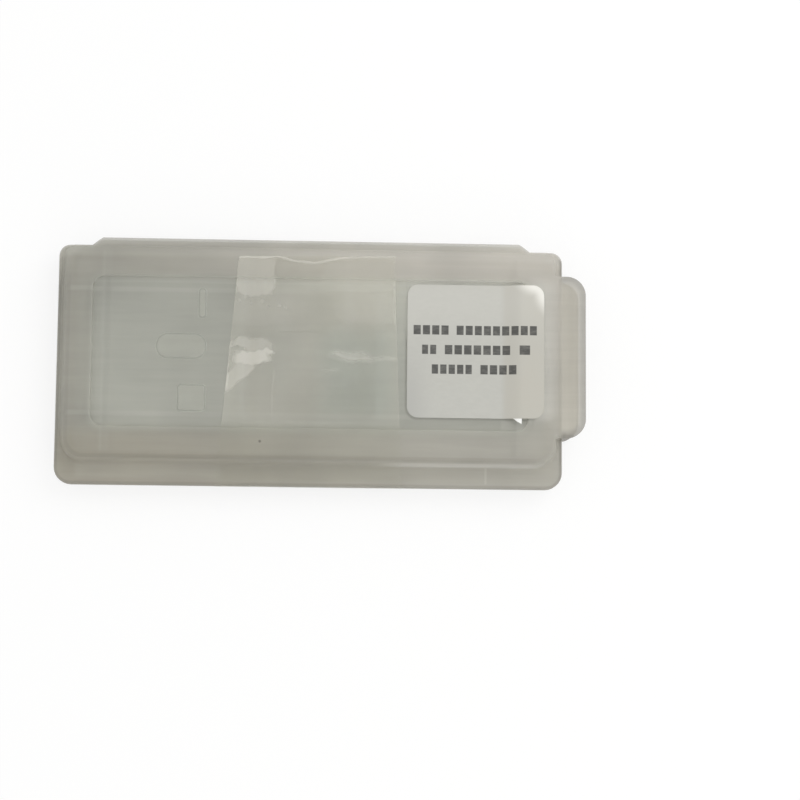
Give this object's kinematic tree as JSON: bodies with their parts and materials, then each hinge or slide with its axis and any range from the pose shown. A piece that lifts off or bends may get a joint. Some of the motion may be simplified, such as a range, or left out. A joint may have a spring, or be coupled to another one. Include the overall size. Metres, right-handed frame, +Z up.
{
  "type": "microscope slide case",
  "caption": "Flat hinged case, shut and taped, holding a prepared microscope slide, with a recessed face, a blank paper label and thumb tabs at one end.",
  "frame": {"origin": "middle of the part's length and width, on the surface that it lies on", "axes": "+X along the slide towards the thumb tabs, +Y towards the hinge, +Z up out of the labelled face"},
  "size_m": [0.0856, 0.0406, 0.007],
  "materials": {
    "case_plastic": "milky natural polypropylene, satin",
    "slide_glass": "polished soda-lime glass",
    "thin_glass": "polished thin glass",
    "resin": "clear set resin",
    "leaf_skin_pale": "thin mounted leaf skin",
    "leaf_skin_dark": "thin mounted leaf skin",
    "label_paper": "semi-gloss white label paper",
    "tape_film": "clear glossy film"
  },
  "bodies": {
    "root": {"slide_case": "case_plastic", "glass_slide": "slide_glass", "mounting_resin": "resin", "monocot_epidermis": "leaf_skin_pale", "dicot_epidermis": "leaf_skin_dark", "cover_glass": "thin_glass", "case_label": "label_paper", "tape_strip": "tape_film"}
  },
  "joints": []
}
